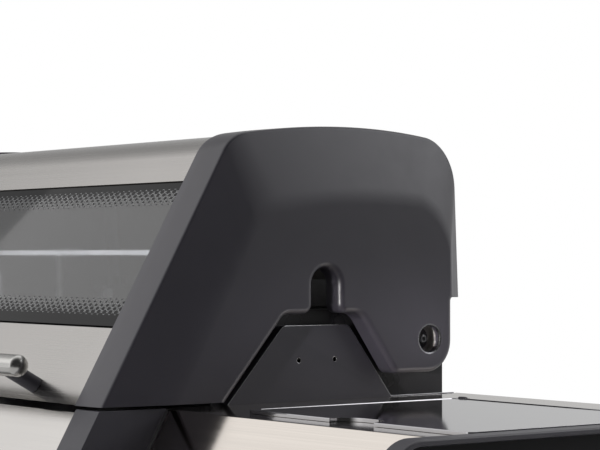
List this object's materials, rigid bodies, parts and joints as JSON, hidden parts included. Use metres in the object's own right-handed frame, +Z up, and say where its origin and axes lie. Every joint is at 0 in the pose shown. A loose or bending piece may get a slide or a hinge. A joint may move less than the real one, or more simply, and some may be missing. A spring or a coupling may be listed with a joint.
{
  "type": "gas barbecue",
  "caption": "Freestanding gas barbecue with a hinged hood and window, a sloping control panel, side shelves, a side burner under a flush lid and a cabinet on castors.",
  "frame": {"origin": "on the floor, below the middle of the whole barbecue", "axes": "+X towards the side burner, the user's right at the front; +Y to the back; +Z up"},
  "size_m": [1.8446, 0.6322, 1.234],
  "materials": {
    "hood_ends": "satin dark grey coat on a cast part",
    "brushed_sheet": "brushed along the width",
    "handle_steel": "satin",
    "window": "clear, with a dark dotted border",
    "dark_casting": "satin dark grey coat on a cast part",
    "gauge": "polished, with a pale dial",
    "needle": "matte black",
    "enamel": "dark vitreous enamel",
    "pin": "bright plated",
    "brass": "machined",
    "iron": "matte, seasoned",
    "rack": "bright wire",
    "tray": "plain galvanised",
    "knob": "fine grain",
    "lid_steel": "nearly mirror bright",
    "castor_steel": "zinc plated",
    "tyre": "dark grey tread"
  },
  "bodies": {
    "stand": {"firebox": "enamel", "side_plate_right": "dark_casting", "side_plate_left": "dark_casting", "rear_panel": "enamel", "hinge_pin_right": "pin", "hinge_pin_left": "pin", "control_panel": "brushed_sheet", "fascia_end_right": "dark_casting", "fascia_end_left": "dark_casting", "burner_1": "iron", "burner_2": "iron", "burner_3": "iron", "burner_4": "iron", "vaporiser_grid": "enamel", "cooking_grill": "iron", "hotplate": "iron", "warming_rack": "rack", "gas_manifold": "brass", "shelf_right": "brushed_sheet", "shelf_end_right": "dark_casting", "side_burner_bowl": "enamel", "side_burner_ring": "iron", "side_burner_trivet": "iron", "shelf_left": "brushed_sheet", "shelf_end_left": "dark_casting", "cabinet": "enamel"},
    "hood": {"hood_end_right": "hood_ends", "hood_end_left": "hood_ends", "hood_skin": "brushed_sheet", "hood_lower_panel": "brushed_sheet", "hood_window": "window", "hood_handle_bar": "handle_steel", "hood_handle_post_right": "dark_casting", "hood_handle_post_left": "dark_casting", "thermometer_housing": "gauge"},
    "needle": {"thermometer_needle": "needle"},
    "burner_lid": {"side_burner_lid": "lid_steel"},
    "tray": {"grease_tray": "tray"},
    "right_door": {"door_right": "brushed_sheet", "door_handle_right": "handle_steel"},
    "left_door": {"door_left": "brushed_sheet", "door_handle_left": "handle_steel"},
    "gas_1_spindle": {"valve_stem_1": "brass"},
    "gas_1_knob": {"knob_1": "knob"},
    "gas_2_spindle": {"valve_stem_2": "brass"},
    "gas_2_knob": {"knob_2": "knob"},
    "gas_3_spindle": {"valve_stem_3": "brass"},
    "gas_3_knob": {"knob_3": "knob"},
    "gas_4_spindle": {"valve_stem_4": "brass"},
    "gas_4_knob": {"knob_4": "knob"},
    "side_gas_spindle": {"side_burner_stem": "brass"},
    "side_gas_knob": {"side_burner_knob": "knob"},
    "castor_front_left": {"castor_fork_front_left": "castor_steel"},
    "wheel_front_left": {"castor_wheel_front_left": "tyre"},
    "castor_front_right": {"castor_fork_front_right": "castor_steel"},
    "wheel_front_right": {"castor_wheel_front_right": "tyre"},
    "castor_rear_left": {"castor_fork_rear_left": "castor_steel"},
    "wheel_rear_left": {"castor_wheel_rear_left": "tyre"},
    "castor_rear_right": {"castor_fork_rear_right": "castor_steel"},
    "wheel_rear_right": {"castor_wheel_rear_right": "tyre"}
  },
  "joints": [
    {"name": "hood_hinge", "type": "hinge", "parent": "stand", "child": "hood", "pos_m": [0, 0.24211, 0.97262], "axis": [-1, 0, 0], "range_deg": [0, 80]},
    {"name": "needle_turn", "type": "hinge", "parent": "hood", "child": "needle", "pos_m": [0, -0.20829, 0.96416], "axis": [0, 0.8675, -0.4974], "range_deg": [0, 240], "stiffness_Nm_per_rad": 0.001},
    {"name": "lid_hinge", "type": "hinge", "parent": "stand", "child": "burner_lid", "pos_m": [0.711, 0.20279, 0.9045], "axis": [-1, 0, 0], "range_deg": [0, 95]},
    {"name": "tray_slide", "type": "slide", "parent": "stand", "child": "tray", "axis": [0, 1, 0], "range_m": [0, 0.25]},
    {"name": "right_door_hinge", "type": "hinge", "parent": "stand", "child": "right_door", "pos_m": [0.3964, -0.26341, 0.4], "axis": [0, 0, 1], "range_deg": [0, 110]},
    {"name": "left_door_hinge", "type": "hinge", "parent": "stand", "child": "left_door", "pos_m": [-0.3964, -0.26341, 0.4], "axis": [0, 0, -1], "range_deg": [0, 110]},
    {"name": "gas_1_turn", "type": "hinge", "parent": "stand", "child": "gas_1_spindle", "pos_m": [-0.27, -0.27895, 0.82616], "axis": [0, -0.8675, 0.4974], "range_deg": [0, 180]},
    {"name": "gas_1_push", "type": "slide", "parent": "gas_1_spindle", "child": "gas_1_knob", "axis": [0, 0.8675, -0.4974], "range_m": [0, 0.003], "stiffness_N_per_m": 600},
    {"name": "gas_2_turn", "type": "hinge", "parent": "stand", "child": "gas_2_spindle", "pos_m": [-0.09, -0.27895, 0.82616], "axis": [0, -0.8675, 0.4974], "range_deg": [0, 180]},
    {"name": "gas_2_push", "type": "slide", "parent": "gas_2_spindle", "child": "gas_2_knob", "axis": [0, 0.8675, -0.4974], "range_m": [0, 0.003], "stiffness_N_per_m": 600},
    {"name": "gas_3_turn", "type": "hinge", "parent": "stand", "child": "gas_3_spindle", "pos_m": [0.09, -0.27895, 0.82616], "axis": [0, -0.8675, 0.4974], "range_deg": [0, 180]},
    {"name": "gas_3_push", "type": "slide", "parent": "gas_3_spindle", "child": "gas_3_knob", "axis": [0, 0.8675, -0.4974], "range_m": [0, 0.003], "stiffness_N_per_m": 600},
    {"name": "gas_4_turn", "type": "hinge", "parent": "stand", "child": "gas_4_spindle", "pos_m": [0.27, -0.27895, 0.82616], "axis": [0, -0.8675, 0.4974], "range_deg": [0, 180]},
    {"name": "gas_4_push", "type": "slide", "parent": "gas_4_spindle", "child": "gas_4_knob", "axis": [0, 0.8675, -0.4974], "range_m": [0, 0.003], "stiffness_N_per_m": 600},
    {"name": "side_gas_turn", "type": "hinge", "parent": "stand", "child": "side_gas_spindle", "pos_m": [0.711, -0.18021, 0.83507], "axis": [0, -0.8675, 0.4974], "range_deg": [0, 180]},
    {"name": "side_gas_push", "type": "slide", "parent": "side_gas_spindle", "child": "side_gas_knob", "axis": [0, 0.8675, -0.4974], "range_m": [0, 0.003], "stiffness_N_per_m": 600},
    {"name": "swivel_front_left", "type": "hinge", "parent": "stand", "child": "castor_front_left", "pos_m": [-0.343, -0.19741, 0.09], "axis": [0, 0, 1], "continuous": true},
    {"name": "roll_front_left", "type": "hinge", "parent": "castor_front_left", "child": "wheel_front_left", "pos_m": [-0.343, -0.17341, 0.0375], "axis": [-1, 0, 0], "continuous": true},
    {"name": "swivel_front_right", "type": "hinge", "parent": "stand", "child": "castor_front_right", "pos_m": [0.343, -0.19741, 0.09], "axis": [0, 0, 1], "continuous": true},
    {"name": "roll_front_right", "type": "hinge", "parent": "castor_front_right", "child": "wheel_front_right", "pos_m": [0.343, -0.17341, 0.0375], "axis": [-1, 0, 0], "continuous": true},
    {"name": "swivel_rear_left", "type": "hinge", "parent": "stand", "child": "castor_rear_left", "pos_m": [-0.343, 0.19059, 0.09], "axis": [0, 0, 1], "continuous": true},
    {"name": "roll_rear_left", "type": "hinge", "parent": "castor_rear_left", "child": "wheel_rear_left", "pos_m": [-0.343, 0.21459, 0.0375], "axis": [-1, 0, 0], "continuous": true},
    {"name": "swivel_rear_right", "type": "hinge", "parent": "stand", "child": "castor_rear_right", "pos_m": [0.343, 0.19059, 0.09], "axis": [0, 0, 1], "continuous": true},
    {"name": "roll_rear_right", "type": "hinge", "parent": "castor_rear_right", "child": "wheel_rear_right", "pos_m": [0.343, 0.21459, 0.0375], "axis": [-1, 0, 0], "continuous": true}
  ]
}
